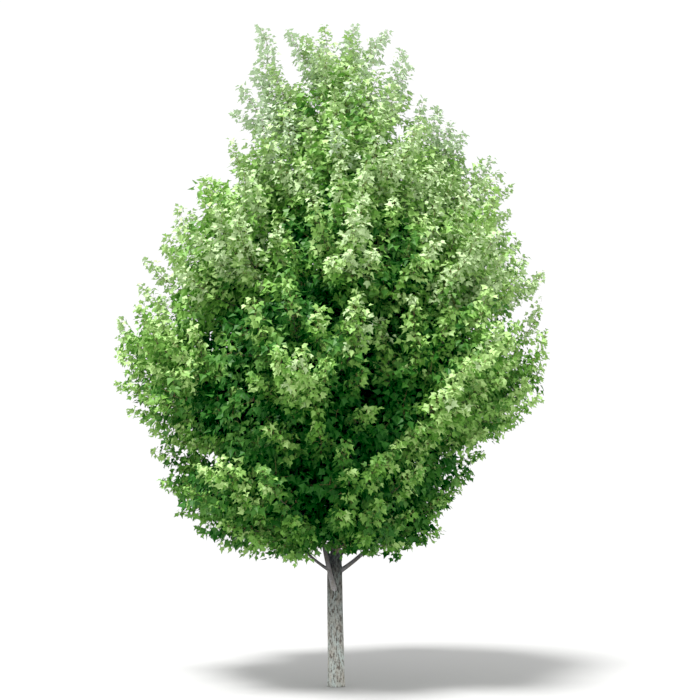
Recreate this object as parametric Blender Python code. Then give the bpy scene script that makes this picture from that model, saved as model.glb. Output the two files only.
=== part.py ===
"""A young red maple in summer leaf: a straight grey trunk, the boughs that leave it low down, and the
masses of leaves that make up its broad, upright crown.

Metres, +Z up. The origin is the middle of the flat cut under the trunk, at ground level. +X is the
right-hand side of the tree and -Y its front. Azimuths are in degrees, from +X towards +Y.
"""

import math
import random
from collections import namedtuple

import bmesh
import bpy
from mathutils import Matrix, Vector

# Driving dimensions
TREE_HEIGHT = 8.40
CROWN_FLOOR = 1.36  # the lowest leaves
GAP = 0.0003  # between pieces that meet
SEED = 11
WELD = 0.0001  # closes a tube's end caps

# Trunk: it runs on through the crown as the leader
TRUNK_TOP = 7.55
FORK_HEIGHT = 1.25
FORK_LENGTH = 0.35  # over which the trunk narrows to the leader
FOOT_RADIUS = 0.097  # without the flare
FORK_RADIUS = 0.090
LEADER_RADIUS = 0.062  # just above the fork
TRUNK_TIP_RADIUS = 0.016
TRUNK_LEAN = -0.020  # sideways at the fork, towards -X
LEADER_SWAY = (0.035, 0.014)  # sideways and front to back
SWAY_PER_METRE = 1.1  # radians of sway in a metre of height
TRUNK_SIDES = 16
TRUNK_STEP = 0.32
FLARE_HEIGHT = 0.30
FLARE_STEPS = (0.0, 0.04, 0.10, 0.19)  # heights of the flare's rings
FLARE_WIDTH = 0.007
FLARE_RIDGES = 5
FLARE_RIDGE_DEPTH = 0.005
FLARE_TURN = 0.7  # radians, where the first ridge lies

# Boughs: height and direction where each leaves the trunk, its run out and up, its radius at each end
Bough = namedtuple("Bough", "name height azimuth out rise radius tip")
BOUGHS = (
    Bough("bough_front_left", 1.08, 238.0, 0.32, 0.78, 0.030, 0.024),
    Bough("bough_right", 1.27, 352.0, 0.52, 0.43, 0.027, 0.021),
    Bough("bough_left", 1.28, 188.0, 0.42, 0.32, 0.020, 0.015),
    Bough("bough_back_left", 1.36, 118.0, 0.44, 0.42, 0.023, 0.018),
    Bough("bough_back_right", 1.42, 52.0, 0.42, 0.40, 0.022, 0.017),
)
BOUGH_SIDES = 8
BOUGH_POINTS = 9
BOUGH_CURL = 0.35  # the share of its rise that a bough leaves for its outer half

# Crown outline: heights, and how far the leaves reach from the trunk to the left and to the right
OUTLINE = (
    (1.35, 0.90, 0.60),
    (1.50, 1.30, 0.95),
    (1.75, 1.78, 1.28),
    (2.05, 2.04, 1.38),
    (2.35, 2.18, 1.42),
    (2.75, 2.05, 1.72),
    (3.10, 2.18, 2.22),
    (3.45, 2.52, 2.52),
    (3.90, 2.76, 2.64),
    (4.30, 2.66, 2.64),
    (4.60, 2.32, 2.58),
    (4.90, 2.42, 2.46),
    (5.30, 2.22, 2.28),
    (5.75, 1.98, 2.20),
    (6.20, 1.74, 2.18),
    (6.50, 1.32, 2.08),
    (6.90, 1.22, 1.66),
    (7.15, 1.32, 1.28),
    (7.40, 1.28, 0.94),
    (7.70, 1.02, 0.92),
    (8.10, 1.02, 0.76),
    (8.40, 0.95, 0.66),
)
DEPTH = 0.97  # front to back, against the width
OUTLINE_STEP = 0.985  # how finely a point is drawn back to the outline
LEAST_REACH = 0.05

# Crown: rings of leaf masses, lowest first. Each ring has its masses' height and distance from the
# trunk, a sideways shift, half sizes (along the mass, across it, through it) and how steeply it rises.
Ring = namedtuple("Ring", "name count turn height out shift long wide tall lift")
RINGS = (
    Ring("skirt", 6, 180.0, 2.38, 1.05, -0.28, 1.00, 0.94, 0.96, 10.0),
    Ring("low", 6, 195.0, 3.58, 1.42, 0.03, 1.20, 1.08, 0.92, 24.0),
    Ring("middle", 6, 220.0, 4.80, 1.22, 0.06, 1.25, 1.04, 0.92, 36.0),
    Ring("upper", 4, 190.0, 5.95, 0.84, 0.20, 1.22, 0.90, 0.86, 52.0),
    Ring("top", 3, 170.0, 7.15, 0.46, -0.06, 1.25, 0.68, 0.64, 68.0),
    Ring("leader", 1, 0.0, 7.50, 0.00, -0.06, 0.95, 0.62, 0.62, 90.0),
)
REACH = {"low_left": 1.10, "middle_right": 1.08, "upper_right": 1.12}  # masses that stand out
POINT = 0.16  # how far a mass's end is drawn out, as a share of its length
POINT_POWER = 6  # how narrow that end is
UNEVEN = 0.09  # depth of a mass's hollows and swellings, as a share of its radius
WAVES = 5  # swellings laid over each other on one mass
WAVE_TIGHTNESS = (4.0, 9.6)  # radians across a mass, least and most
SCATTER = 0.05  # how far a mass strays from its even size, as a share
TURN_SCATTER = 4.5  # and from its even place, in degrees and metres
HEIGHT_SCATTER = 0.10
MASS_SUBDIVISIONS = 3

BARK_GREY = (0.33, 0.31, 0.28, 1.0)
BOUGH_GREY = (0.38, 0.37, 0.34, 1.0)
LEAF_GREEN = (0.13, 0.27, 0.05, 1.0)
BARK_ROUGHNESS = 0.9
LEAF_ROUGHNESS = 0.7

WORDS = ("right", "back_right", "back", "back_left", "left", "front_left", "front", "front_right")
UP = Vector((0.0, 0.0, 1.0))
Mass = namedtuple("Mass", "name centre axis side up sizes waves")


def clear_scene():
    for item in list(bpy.data.objects):
        bpy.data.objects.remove(item, do_unlink=True)


def collection(name):
    made = bpy.data.collections.new(name)
    bpy.context.scene.collection.children.link(made)
    return made


def material(name, colour, roughness):
    made = bpy.data.materials.new(name)
    made.use_nodes = True
    shader = made.node_tree.nodes["Principled BSDF"]
    shader.inputs["Base Color"].default_value = colour
    shader.inputs["Roughness"].default_value = roughness
    shader.inputs["Metallic"].default_value = 0.0
    return made


def add_piece(name, mesh, home, colour, roughness):
    """An object of the tree, with a material of its own."""
    mesh.materials.clear()
    mesh.materials.append(material(name + "_finish", colour, roughness))
    made = bpy.data.objects.new(name, mesh)
    home.objects.link(made)
    return made


def add_cutter(name, mesh, home):
    made = bpy.data.objects.new(name, mesh)
    home.objects.link(made)
    made.hide_render = True
    made.display_type = "WIRE"
    return made


def heading(azimuth):
    """The level direction of an azimuth."""
    return Vector((math.cos(math.radians(azimuth)), math.sin(math.radians(azimuth)), 0.0))


def compass(azimuth):
    """The plain word for the side of the tree that an azimuth points to."""
    return WORDS[round(azimuth / 45.0) % 8]


def between(low, high, share):
    return low + (high - low) * share


def tube(name, points, radii, sides, home):
    """A tapering round limb through the points, as a closed mesh with flat ends."""
    curve = bpy.data.curves.new(name, "CURVE")
    curve.dimensions = "3D"
    curve.bevel_depth = 1.0
    curve.bevel_resolution = sides // 4 - 1
    curve.use_fill_caps = True
    spline = curve.splines.new("POLY")
    spline.points.add(len(points) - 1)
    for spot, place, radius in zip(spline.points, points, radii):
        spot.co = (*place, 1.0)
        spot.radius = radius
    holder = bpy.data.objects.new(name + "_curve", curve)
    home.objects.link(holder)
    bpy.context.view_layer.update()
    ready = holder.evaluated_get(bpy.context.evaluated_depsgraph_get())
    mesh = bpy.data.meshes.new_from_object(ready)
    mesh.name = name
    bpy.data.objects.remove(holder, do_unlink=True)
    work = bmesh.new()
    work.from_mesh(mesh)
    bmesh.ops.remove_doubles(work, verts=work.verts, dist=WELD)
    bmesh.ops.recalc_face_normals(work, faces=work.faces)
    work.to_mesh(mesh)
    work.free()
    return mesh


def with_room(points, radii, room):
    """The same limb, grown by some room all round and past its end, as its cutter."""
    onward = (points[-1] - points[-2]).normalized()
    return points + [points[-1] + onward * room], [radius + room for radius in radii + radii[-1:]]


# ---- the trunk ----


def trunk_line(height):
    """The middle of the trunk at a height: upright at the foot, then leaning and swaying a little."""
    climb = max(0.0, height - FLARE_HEIGHT)
    lean = TRUNK_LEAN * math.sin(min(1.0, climb / FORK_HEIGHT) * math.pi / 2)
    sway = math.sin(max(0.0, height - FORK_HEIGHT) * SWAY_PER_METRE)
    return Vector((lean + LEADER_SWAY[0] * sway, LEADER_SWAY[1] * sway, height))


def trunk_radius(height):
    """An even taper to the fork, a step down where the boughs take their share, then on to the tip."""
    below = between(FOOT_RADIUS, FORK_RADIUS, height / FORK_HEIGHT)
    above = between(LEADER_RADIUS, TRUNK_TIP_RADIUS, (height - FORK_HEIGHT) / (TRUNK_TOP - FORK_HEIGHT))
    share = min(1.0, max(0.0, (height - FORK_HEIGHT) / FORK_LENGTH))
    return between(below, above, share * share * (3.0 - 2.0 * share))


def flare(mesh):
    """Spreads the foot of the trunk into low ridges, each the start of a root."""
    for vertex in mesh.vertices:
        if vertex.co.z >= FLARE_HEIGHT:
            continue
        near = (1.0 - vertex.co.z / FLARE_HEIGHT) ** 2
        out = vertex.co - trunk_line(vertex.co.z)
        out.z = 0.0
        ridge = math.cos(FLARE_RIDGES * math.atan2(out.y, out.x) + FLARE_TURN)
        vertex.co += out.normalized() * near * (FLARE_WIDTH + FLARE_RIDGE_DEPTH * ridge)


def trunk_mesh(name, home, room=0.0):
    """The trunk or, with some room, the cutter that keeps the other pieces off it."""
    count = round((TRUNK_TOP - FLARE_HEIGHT) / TRUNK_STEP)
    heights = list(FLARE_STEPS)
    heights += [between(FLARE_HEIGHT, TRUNK_TOP, k / count) for k in range(count + 1)]
    points = [trunk_line(height) for height in heights]
    radii = [trunk_radius(height) for height in heights]
    if room:
        points, radii = with_room(points, radii, room)
    mesh = tube(name, points, radii, TRUNK_SIDES, home)
    flare(mesh)
    return mesh


# ---- the boughs ----


def bough_mesh(name, bough, home, room=0.0):
    """A bough from the middle of the trunk outwards or, with some room, its cutter."""
    points = []
    radii = []
    for k in range(BOUGH_POINTS):
        share = k / (BOUGH_POINTS - 1)
        rise = bough.rise * between(share, share * share, BOUGH_CURL)
        points.append(trunk_line(bough.height) + heading(bough.azimuth) * bough.out * share + UP * rise)
        radii.append(between(bough.radius, bough.tip, share))
    if room:
        points, radii = with_room(points, radii, room)
    return tube(name, points, radii, BOUGH_SIDES, home)


# ---- the masses of leaves ----


def swelling(draw):
    """One swelling of a mass: its direction, how tight it is and its phase."""
    height = draw.uniform(-1.0, 1.0)
    turn = draw.uniform(0.0, 2.0 * math.pi)
    flat = math.sqrt(1.0 - height * height)
    toward = Vector((flat * math.cos(turn), flat * math.sin(turn), height))
    return toward, draw.uniform(*WAVE_TIGHTNESS), turn


def place_masses():
    """Every mass's centre, axes, half sizes and swellings, ring by ring."""
    draw = random.Random(SEED)
    masses = []
    for ring in RINGS:
        for k in range(ring.count):
            azimuth = ring.turn + 360.0 * k / ring.count
            name = ring.name if ring.count == 1 else ring.name + "_" + compass(azimuth)
            reach = REACH.get(name, 1.0)
            out = heading(azimuth + draw.uniform(-TURN_SCATTER, TURN_SCATTER))
            size = reach * (1.0 + draw.uniform(-SCATTER, SCATTER))
            height = ring.height + draw.uniform(-HEIGHT_SCATTER, HEIGHT_SCATTER)
            centre = trunk_line(height) + out * ring.out * reach
            centre.x += ring.shift
            lift = math.radians(ring.lift)
            axis = out * math.cos(lift) + UP * math.sin(lift)
            side = Vector((-out.y, out.x, 0.0))
            sizes = (ring.long * size, ring.wide * size, ring.tall * size)
            waves = [swelling(draw) for _ in range(WAVES)]
            masses.append(Mass(name, centre, axis, side, axis.cross(side), sizes, waves))
    return masses


def outline(place):
    """How far the leaves reach from the trunk at a place's height, on its own side of the tree."""
    height = min(max(place.z, OUTLINE[0][0]), OUTLINE[-1][0])
    for (low, left_low, right_low), (high, left_high, right_high) in zip(OUTLINE, OUTLINE[1:]):
        if height <= high:
            break
    share = (height - low) / (high - low)
    left = between(left_low, left_high, share)
    right = between(right_low, right_high, share)
    toward_right = place.x / max(LEAST_REACH, math.hypot(place.x, place.y))
    return between(left, right, 0.5 + 0.5 * toward_right) * between(DEPTH, 1.0, toward_right ** 2)


def held_inside(centre, ray, reach):
    """Draws a point of a mass back along its ray until it is within the crown's outline."""
    while reach > LEAST_REACH:
        place = centre + ray * reach
        if math.hypot(place.x, place.y) <= outline(place):
            break
        reach *= OUTLINE_STEP
    return reach


def free_radius(mass, ray):
    """How far the mass would reach along a ray from its centre with nothing beside it."""
    parts = [ray.dot(axis) / size for axis, size in zip((mass.axis, mass.side, mass.up), mass.sizes)]
    even = 1.0 / math.sqrt(sum(part * part for part in parts))
    drawn_out = 1.0 + POINT * max(0.0, ray.dot(mass.axis)) ** POINT_POWER
    swell = sum(math.sin(tightness * ray.dot(toward) + phase) for toward, tightness, phase in mass.waves)
    return even * drawn_out * (1.0 + UNEVEN * swell / math.sqrt(WAVES))


def walls(mass, masses):
    """The planes that a mass keeps behind: the crown's floor and top, and one to each neighbour."""
    found = [(-UP, mass.centre.z - CROWN_FLOOR), (UP, TREE_HEIGHT - mass.centre.z)]
    own = sum(mass.sizes) / 3.0
    for other in masses:
        if other is mass:
            continue
        apart = other.centre - mass.centre
        far = apart.length
        theirs = sum(other.sizes) / 3.0
        # The larger of two masses takes the larger share of the space between their centres.
        share = 0.5 + (own * own - theirs * theirs) / (2.0 * far * far)
        found.append((apart / far, share * far - GAP / 2.0))
    return found


def mass_mesh(mass, masses):
    """An uneven ball round the mass's centre, pressed flat where it meets its neighbours."""
    turn = Matrix((mass.axis, mass.side, mass.up)).transposed()
    limits = walls(mass, masses)
    work = bmesh.new()
    bmesh.ops.create_icosphere(work, subdivisions=MASS_SUBDIVISIONS, radius=1.0)
    for vertex in work.verts:
        ray = (turn @ vertex.co).normalized()
        reach = free_radius(mass, ray)
        for normal, distance in limits:
            if ray.dot(normal) * reach > distance:
                reach = distance / ray.dot(normal)
        vertex.co = mass.centre + ray * held_inside(mass.centre, ray, reach)
    mesh = bpy.data.meshes.new(mass.name)
    work.to_mesh(mesh)
    work.free()
    return mesh


def box(item):
    spots = [vertex.co for vertex in item.data.vertices]
    return [(min(spot[i] for spot in spots), max(spot[i] for spot in spots)) for i in range(3)]


def cut(target, cutter):
    """Cuts a socket or a groove, where the two come near each other at all."""
    if all(low < most and least < high for (low, high), (least, most) in zip(box(target), box(cutter))):
        gouge = target.modifiers.new("cut_" + cutter.name, "BOOLEAN")
        gouge.operation = "DIFFERENCE"
        gouge.object = cutter


def build():
    clear_scene()
    tree = collection("red_maple")
    rooms = collection("cutters")

    trunk = add_piece("trunk", trunk_mesh("trunk", tree), tree, BARK_GREY, BARK_ROUGHNESS)
    trunk.data.shade_smooth()
    limb_rooms = [add_cutter("room_trunk", trunk_mesh("room_trunk", tree, GAP), rooms)]
    for bough in BOUGHS:
        limb = add_piece(bough.name, bough_mesh(bough.name, bough, tree), tree, BOUGH_GREY, BARK_ROUGHNESS)
        limb.data.shade_smooth()
        cut(limb, limb_rooms[0])
        name = "room_" + bough.name
        limb_rooms.append(add_cutter(name, bough_mesh(name, bough, tree, GAP), rooms))

    masses = place_masses()
    for mass in masses:
        leaves = add_piece(
            "foliage_" + mass.name, mass_mesh(mass, masses), tree, LEAF_GREEN, LEAF_ROUGHNESS
        )
        for room in limb_rooms:
            cut(leaves, room)


build()
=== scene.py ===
import math
from collections import namedtuple

import bpy
import numpy as np
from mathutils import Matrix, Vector, noise
from mathutils.bvhtree import BVHTree


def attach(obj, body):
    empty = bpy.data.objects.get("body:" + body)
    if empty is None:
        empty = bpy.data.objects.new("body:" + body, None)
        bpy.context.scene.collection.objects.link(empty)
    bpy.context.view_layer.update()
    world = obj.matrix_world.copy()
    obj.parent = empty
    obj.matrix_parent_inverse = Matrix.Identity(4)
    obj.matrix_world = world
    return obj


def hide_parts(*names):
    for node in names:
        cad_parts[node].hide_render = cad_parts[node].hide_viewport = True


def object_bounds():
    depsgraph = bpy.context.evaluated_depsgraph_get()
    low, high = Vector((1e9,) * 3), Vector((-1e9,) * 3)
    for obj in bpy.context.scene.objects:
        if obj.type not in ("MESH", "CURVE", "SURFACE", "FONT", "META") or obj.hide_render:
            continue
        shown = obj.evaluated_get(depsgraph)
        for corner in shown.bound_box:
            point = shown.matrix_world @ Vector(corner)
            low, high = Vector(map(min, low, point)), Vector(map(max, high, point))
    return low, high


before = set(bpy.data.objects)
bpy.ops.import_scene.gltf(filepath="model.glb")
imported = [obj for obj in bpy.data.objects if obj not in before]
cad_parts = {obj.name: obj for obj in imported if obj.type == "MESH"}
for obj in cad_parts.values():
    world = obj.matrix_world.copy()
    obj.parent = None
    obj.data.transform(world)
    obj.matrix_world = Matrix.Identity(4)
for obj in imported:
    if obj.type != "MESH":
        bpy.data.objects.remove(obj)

# The looks of the red maple. Bark replaces the trunk and the boughs. Each mass of leaves is replaced
# by a limb that grows on from the trunk or a bough, by plumes that spread from that limb to the
# mass's open surface, and by twigs and leaves set in opposite pairs along each plume.
# Metres, +Z up, the ground at zero. "Outwards" is away from the trunk's line.

SEED = 21
draw = np.random.default_rng(SEED)
fray = np.random.default_rng(SEED + 1)  # for the crown's uneven underside alone
UP = np.array([0.0, 0.0, 1.0])
cad_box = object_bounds()

# ---- camera: where the view is taken from ----

FRAME_PIXELS = 700
FOCAL_PIXELS = 972.0
SENSOR = 36.0
EYE = np.array([0.163, -11.851, 1.667])
PITCH = math.radians(11.06)

# ---- trunk and boughs, as the solids have them ----

TRUNK_TOP = 7.55
FORK_HEIGHT = 1.25
FORK_LENGTH = 0.35
FOOT_RADIUS = 0.097
FORK_RADIUS = 0.090
LEADER_RADIUS = 0.062
TRUNK_TIP_RADIUS = 0.016
TRUNK_LEAN = -0.020
LEADER_SWAY = (0.035, 0.014)
SWAY_PER_METRE = 1.1
FLARE_HEIGHT = 0.30
FLARE_WIDTH = 0.007
FLARE_RIDGES = 5
FLARE_RIDGE_DEPTH = 0.005
FLARE_TURN = 0.7
BOUGHS = {  # height and azimuth where it leaves the trunk, its run out and up, radius at each end
    "bough_front_left": (1.08, 238.0, 0.32, 0.78, 0.030, 0.024),
    "bough_right": (1.27, 352.0, 0.52, 0.43, 0.027, 0.021),
    "bough_left": (1.28, 188.0, 0.42, 0.32, 0.020, 0.015),
    "bough_back_left": (1.36, 118.0, 0.44, 0.42, 0.023, 0.018),
    "bough_back_right": (1.42, 52.0, 0.42, 0.40, 0.022, 0.017),
}
BOUGH_CURL = 0.35
CARRIES = {  # the masses whose limb grows on from a bough; the others' leave the trunk
    "foliage_skirt_front_left": "bough_front_left",
    "foliage_skirt_right": "bough_right",
    "foliage_skirt_left": "bough_left",
    "foliage_skirt_back_left": "bough_back_left",
    "foliage_skirt_back_right": "bough_back_right",
}

# ---- growth ----

# Limbs
LIMB_SLOPE = 0.85  # how far below its mass's middle a limb leaves the trunk, per metre out
LIMB_DROP = 0.12  # and how much further below
LIMB_BELOW_TIP = 0.4  # no limb leaves the trunk nearer to the trunk's tip
LIMB_START = 0.9  # how steeply it leaves, as rise over run
LIMB_AIM = (0.35, 0.10)  # how steeply it ends: at the ground, and more for each metre of height
LIMB_REACH = 0.62  # the share of the way from a mass's middle to its open end that its limb goes
LEADER_REACH = -0.50  # the same for the leader, which the plumes around it overtop
LIMB_ROOT = (0.30, 0.012)  # its radius at the trunk: a share of the trunk's, and a little more
LIMB_TIP_RADIUS = 0.008
LIMB_POINTS = 14
LIMB_SIDES = 7
LIMB_BARE = 0.35  # the stretch of a limb next to the wood it grows from
LIMB_NODE_GAP = 0.14  # between pairs of shaded twigs along a limb
CURVE_IN = 0.35  # how long a limb or a spray keeps its first direction, per metre of reach
CURVE_OUT = 0.30  # and how long its last

# Plumes
PLUME_GAP = 0.45  # between the tips of neighbouring plumes
PLUME_INSET = (0.02, 0.28)  # how far inside its mass's surface a plume ends
PLUME_BRIGHT = 0.55  # the most that a plume placed by chance stands out
LEADER_BRIGHT = 0.5
LIFT_FACING = (-1.0, -0.5, 0.0, 0.6, 1.0)  # from where a mass's surface faces down to where it faces up
PLUME_LIFT = (5.0, 25.0, 54.0, 72.0, 86.0)  # how steeply a plume ends there, in degrees
LIFT_SPREAD = 7.0
PLUME_CLEARANCE = 0.12  # a plume's tip less than this above the leaves' limit turns down
PLUME_POINTS = 10
PLUME_SIDES = 5
PLUME_RADIUS = (0.0085, 0.0020)
PLUME_BARE = 0.15  # the stretch of a plume next to its limb
PLUME_LEAFY = 1.05  # the outer stretch of a plume that carries its own leaves
NODE_GAP = 0.072  # between pairs of twigs along a plume
INNER_NODE_GAP = 0.16  # the same further in
PLUME_WHIM = 0.4  # how many tints paler or darker than usual a plume is
TIP_TRIES = 500  # places on each mass's surface that are tried for a plume's tip
FACING_IN = -0.25  # a surface that faces the trunk more than this is not open
TOUCHING = 0.05  # nor is one this near another mass
CLEAR_OF_TRUNK = 0.30  # plumes and shaded sprays end at least this far from the trunk's line

# Shaded sprays, which fill the inside of the crown
FILL_GAP = 0.325  # between their ends, and from those to the plumes' tips
FILL_REACH = 0.90  # the furthest they end, on the way from a mass's middle to its surface
FILL_LEAFY = 0.42
FILL_NODE_GAP = 0.10
FILL_TOP = 7.2  # above this the crown is thin enough to see the sky through
FILL_CLEARANCE = 0.18  # between a shaded spray's end and the leaves' limit under it
FILL_TRIES = 260  # places inside each mass that are tried for a shaded spray's end
FILL_POINTS = 6
FILL_SIDES = 3
FILL_RADIUS = (0.005, 0.002)

# Twigs
TWIG_LENGTH = (0.06, 0.30)  # at a plume's tip and at its widest
INNER_TWIG_LENGTH = (0.20, 0.34)
TWIG_SPREAD = (0.72, 1.15)  # how far a twig's length varies
TWIG_OPENING = (42.0, 62.0)  # degrees between a plume and its twigs
TWIG_CLOSING = 16.0  # how much less that is at the plume's tip
TWIG_RISE = 0.30  # how far twigs turn up, and the one at a plume's tip
TIP_TWIG_RISE = 0.20
TWIG_STRAY = 0.12  # how far they turn any other way
TWIG_BARE = 0.07  # the most of a twig, next to the plume, that has no leaves
TWIG_POINTS = 3
TWIG_SIDES = 3
TWIG_RADIUS = (0.0020, 0.0008)

# Leaves
LEAF_GAP = 0.050  # between pairs of leaves along a twig
INNER_LEAF_GAP = 0.060
LEAF_LENGTH = (0.064, 0.108)
INNER_LEAF_LENGTH = (0.080, 0.120)
LEAF_WIDTH = (0.85, 1.15)  # how far its width varies, from the usual for its length
LEAF_SMALLER = 0.15  # how much smaller it is at a twig's end, and at a plume's tip
LEAF_FOLD = (0.08, 0.50)  # how far its halves are folded up, in radians
LEAF_CURL = (0.0, 0.24)  # how far its tip curls down, per metre of length
LEAF_UNEVEN = 0.035  # how far its points stray, per metre of length
LEAF_DROOP = (58.0, 5.0)  # degrees below level: at the ground, and less for each metre of height
DROOP_LIMITS = (22.0, 48.0)
DROOP_SPREAD = 26.0
DROOP_LOSS = 12.0  # how much less at a plume's tip
LOOSE_AT = (2.0, 6.5)  # two heights, and how unevenly the leaves there face up
LOOSE = (0.72, 0.30)
STALK_LENGTH = (0.026, 0.055)
STALK_SHORTER = 0.35  # how much shorter it is at a plume's tip
STALK_WIDTH = 0.0030
BEYOND_BOX = 0.07  # leaves may stand this far outside the solids' box
RAGGED = 0.10  # how uneven the crown's underside is, from twig to twig

# The lowest that leaves hang, by how far to the right of the trunk's foot they are
HANG_RIGHT = (
    -2.60, -2.10, -1.85, -1.60, -1.20, -0.50, -0.28, -0.16,
    -0.06, 0.12, 0.22, 0.46, 0.80, 1.15, 1.40, 1.60,
)
HANG_HEIGHT = (
    2.97, 2.33, 1.95, 1.63, 1.38, 1.35, 1.38, 1.50,
    1.61, 1.63, 1.55, 1.49, 1.47, 1.49, 1.63, 1.97,
)

# Plumes that stand out, by their tips' pixels in the frame, with how bright each is.
# Those on the crown's edge stand near the plane of the trunk, the others where the eye meets a mass.
EDGE_DEPTH = 0.25  # how far before or behind that plane
FACE_PROUD = 0.06  # how far before the mass
EDGE_PLUMES = (
    (262, 27, 0.6), (290, 35, 0.6), (306, 40, 0.5), (325, 31, 0.6), (354, 30, 0.6), (386, 24, 0.7),
    (401, 54, 0.6), (408, 70, 0.6), (407, 96, 0.5), (262, 79, 0.6), (243, 90, 0.7), (238, 116, 0.6),
    (243, 160, 0.7), (210, 182, 0.6), (192, 216, 0.6), (180, 229, 0.7), (167, 249, 0.6), (149, 263, 0.7),
    (144, 289, 0.8), (160, 306, 0.5), (149, 322, 0.7), (122, 322, 0.6), (120, 352, 0.5), (121, 385, 0.4),
    (134, 412, 0.4), (156, 432, 0.4), (158, 452, 0.3), (166, 492, 0.3), (178, 515, 0.3), (200, 531, 0.3),
    (226, 545, 0.3), (440, 532, 0.3), (466, 474, 0.35), (172, 442, 0.4), (531, 288, 0.7), (422, 104, 0.6),
    (437, 112, 0.7), (449, 127, 0.7), (462, 137, 0.7), (490, 163, 0.8), (498, 176, 0.7), (507, 190, 0.7),
    (505, 216, 0.7), (515, 245, 0.7), (522, 260, 0.7), (545, 274, 0.8), (541, 302, 0.6), (546, 335, 0.5),
    (545, 365, 0.5), (536, 398, 0.4), (508, 426, 0.4), (478, 455, 0.3), (455, 492, 0.3),
)
FACE_PLUMES = (
    (362, 203, 1.0), (357, 298, 0.95), (302, 352, 1.0), (455, 388, 1.0), (482, 433, 0.8), (497, 328, 0.9),
    (491, 356, 0.7), (222, 463, 0.6), (478, 232, 0.9), (500, 262, 0.8), (335, 132, 0.9), (262, 118, 0.8),
    (300, 165, 0.7), (395, 150, 0.6), (415, 132, 0.7), (278, 232, 0.6), (292, 384, 1.0), (414, 300, 0.6),
    (212, 256, 0.9), (268, 430, 0.7), (350, 474, 0.8), (365, 313, 1.0), (350, 256, 0.9), (184, 270, 0.7),
    (465, 200, 0.8), (440, 165, 0.8), (350, 85, 0.7), (238, 215, 0.8), (200, 240, 0.8), (366, 165, 0.7),
    (372, 410, 0.8), (339, 168, 0.8), (420, 428, 0.8), (398, 446, 0.7), (345, 446, 0.5), (378, 462, 0.5),
    (420, 470, 0.6), (318, 426, 0.5), (202, 468, 0.7), (262, 470, 0.5), (258, 194, 0.9), (377, 142, 0.9),
    (463, 410, 0.9), (524, 384, 0.6), (436, 200, 0.8), (492, 288, 0.8), (352, 218, 0.8), (432, 440, 0.9),
    (380, 324, 0.8), (444, 418, 0.9), (474, 362, 0.8), (244, 272, 0.7), (435, 246, 0.7), (326, 364, 0.4),
    (278, 352, 0.4), (371, 255, 0.6), (464, 262, 0.8), (219, 212, 0.8), (496, 236, 0.9), (508, 274, 1.0),
    (333, 262, 0.5), (245, 178, 0.8), (308, 380, 0.8), (384, 164, 0.8), (289, 122, 0.8), (279, 166, 0.7),
)

# Dark hollows between plumes, where shade is painted into the leaves, in the frame's pixels: middle and
# half-sizes
HOLLOWS = (
    (302, 225, 18, 28), (390, 226, 17, 22), (404, 268, 26, 24), (266, 412, 13, 12), (336, 390, 10, 18),
    (394, 392, 22, 14), (210, 424, 24, 22), (458, 466, 13, 14), (232, 318, 26, 14), (318, 335, 22, 14),
    (312, 104, 18, 14), (298, 158, 8, 11), (298, 488, 18, 22), (212, 383, 18, 22), (431, 342, 18, 26),
    (340, 20, 42, 26), (276, 308, 16, 20), (308, 290, 16, 24), (326, 224, 11, 26), (352, 117, 16, 8),
    (412, 238, 12, 14), (456, 322, 12, 12), (240, 350, 16, 14), (353, 374, 10, 12), (452, 366, 9, 12),
    (300, 256, 14, 12), (350, 428, 14, 12), (214, 342, 12, 12),
)
HOLLOW_SHADE = 2.7  # painted shade: how many tints darker the leaves are in the middle of a hollow

# Leaf tints from the shaded inside of the crown to the pale growing tips: the darker ones paint the crown's
# shade, the paler ones its light as well as fresh growth
TINTS = (
    ("leaf_shade", (0.019, 0.084, 0.008)),
    ("leaf_deep", (0.042, 0.136, 0.017)),
    ("leaf_green", (0.076, 0.196, 0.030)),
    ("leaf_mid", (0.120, 0.288, 0.040)),
    ("leaf_fresh", (0.200, 0.400, 0.078)),
    ("leaf_yellow_green", (0.314, 0.522, 0.145)),
    ("leaf_pale", (0.377, 0.545, 0.232)),
    ("leaf_silver", (0.448, 0.580, 0.368)),
)

# How many tints paler a spray's leaves are, with painted light and shade
TINT_BASE = 0.32
TINT_AT_TIP = 1.2  # at its plume's tip, for its paler fresh growth and painted light there, with painted shade further in
TINT_BRIGHT = 3.0  # at the tip of a plume that stands out, low in the crown: paler fresh growth and painted light
TINT_BRIGHT_LOSS = 1.3  # how much less that is at the crown's top
TINT_TOP_LIGHT = 4.7  # painted light: at the crown's top, lit by the sky above
TINT_SIDE_LIGHT = 1.8  # painted light where the crown faces right or left, its edge leaves lit through
TINT_SPREAD = (1.3, 0.55)  # by chance, low in the crown and at its top
TINT_MOST = (4.2, 1.6, 1.2)  # at most: low in the crown, more at its top, more on a bright plume
INNER_SHADE_TINT = (-0.88, 5.5, 1.9, 0.8)  # for shaded sprays, darker to paint the shade inside the crown: base, at the top, at the sides, by chance
TOP_LIGHT_FROM = 2.4  # painted light from above: leaves are paler with height from here on
TOP_LIGHT_OVER = 4.6  # and fully so this much higher
LEAF_SHINE = (0.10, 0.25)  # how strongly leaves reflect, and how much more the paler ones do
STALK_COLOUR = (0.32, 0.25, 0.10)
LIMB_COLOUR = (0.10, 0.085, 0.065)
SHOOT_COLOUR = (0.20, 0.12, 0.06)


def unit(vectors):
    return vectors / np.maximum(np.linalg.norm(vectors, axis=-1, keepdims=True), 1e-9)


def heading(azimuth):
    return np.array([math.cos(math.radians(azimuth)), math.sin(math.radians(azimuth)), 0.0])


def smooth_step(share):
    share = np.clip(share, 0.0, 1.0)
    return share * share * (3.0 - 2.0 * share)


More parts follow.
